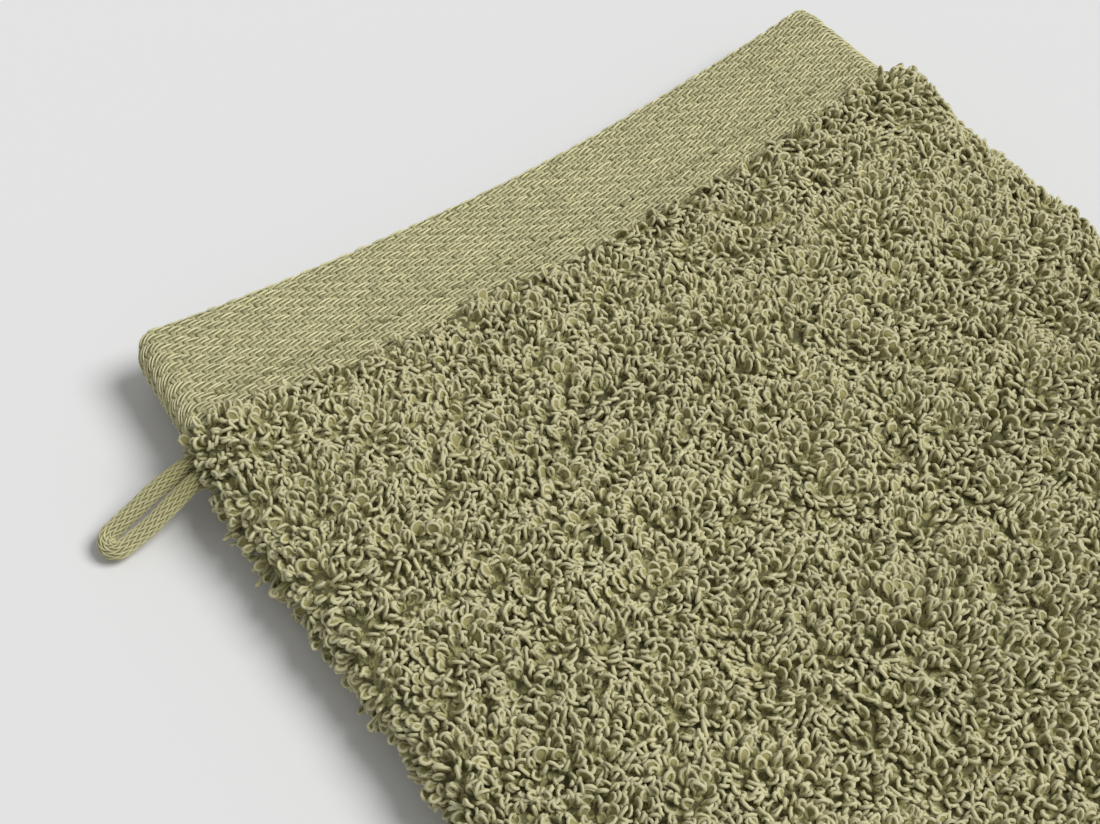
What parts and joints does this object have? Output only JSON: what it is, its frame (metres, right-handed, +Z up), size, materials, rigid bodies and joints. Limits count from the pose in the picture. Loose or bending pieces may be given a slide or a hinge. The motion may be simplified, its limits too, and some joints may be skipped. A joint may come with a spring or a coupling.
{
  "type": "terry wash mitt",
  "caption": "Rectangular looped-towelling mitt with a flat twill hem band round its open mouth and a short cord hanging loop in the side seam, lying flat.",
  "frame": {"origin": "centre of the mitt's footprint on the surface it lies on", "axes": "+Z up, out of the upper panel; +Y from the open mouth towards the closed end; +X towards the side seam that holds the hanging loop"},
  "size_m": [0.1834, 0.22, 0.017],
  "materials": {
    "terry_pile": "looped cotton pile, matt",
    "twill_band": "flat cotton twill, matt",
    "loop_cord": "knitted cotton cord, matt",
    "sewing_thread": "spun sewing thread, matt"
  },
  "bodies": {
    "mitt": {"front_panel": "terry_pile", "back_panel": "terry_pile", "front_cuff": "twill_band", "back_cuff": "twill_band", "front_hem_stitching": "sewing_thread", "back_hem_stitching": "sewing_thread", "left_seam_thread": "sewing_thread", "right_seam_thread": "sewing_thread", "end_seam_thread": "sewing_thread", "loop_ends": "loop_cord"},
    "hanging_loop": {"hanging_loop": "loop_cord"}
  },
  "joints": [
    {"name": "loop_swing", "type": "hinge", "parent": "mitt", "child": "hanging_loop", "pos_m": [0.0838, -0.0799, 0.0085], "axis": [0, -1, 0], "range_deg": [-70, 105]}
  ]
}
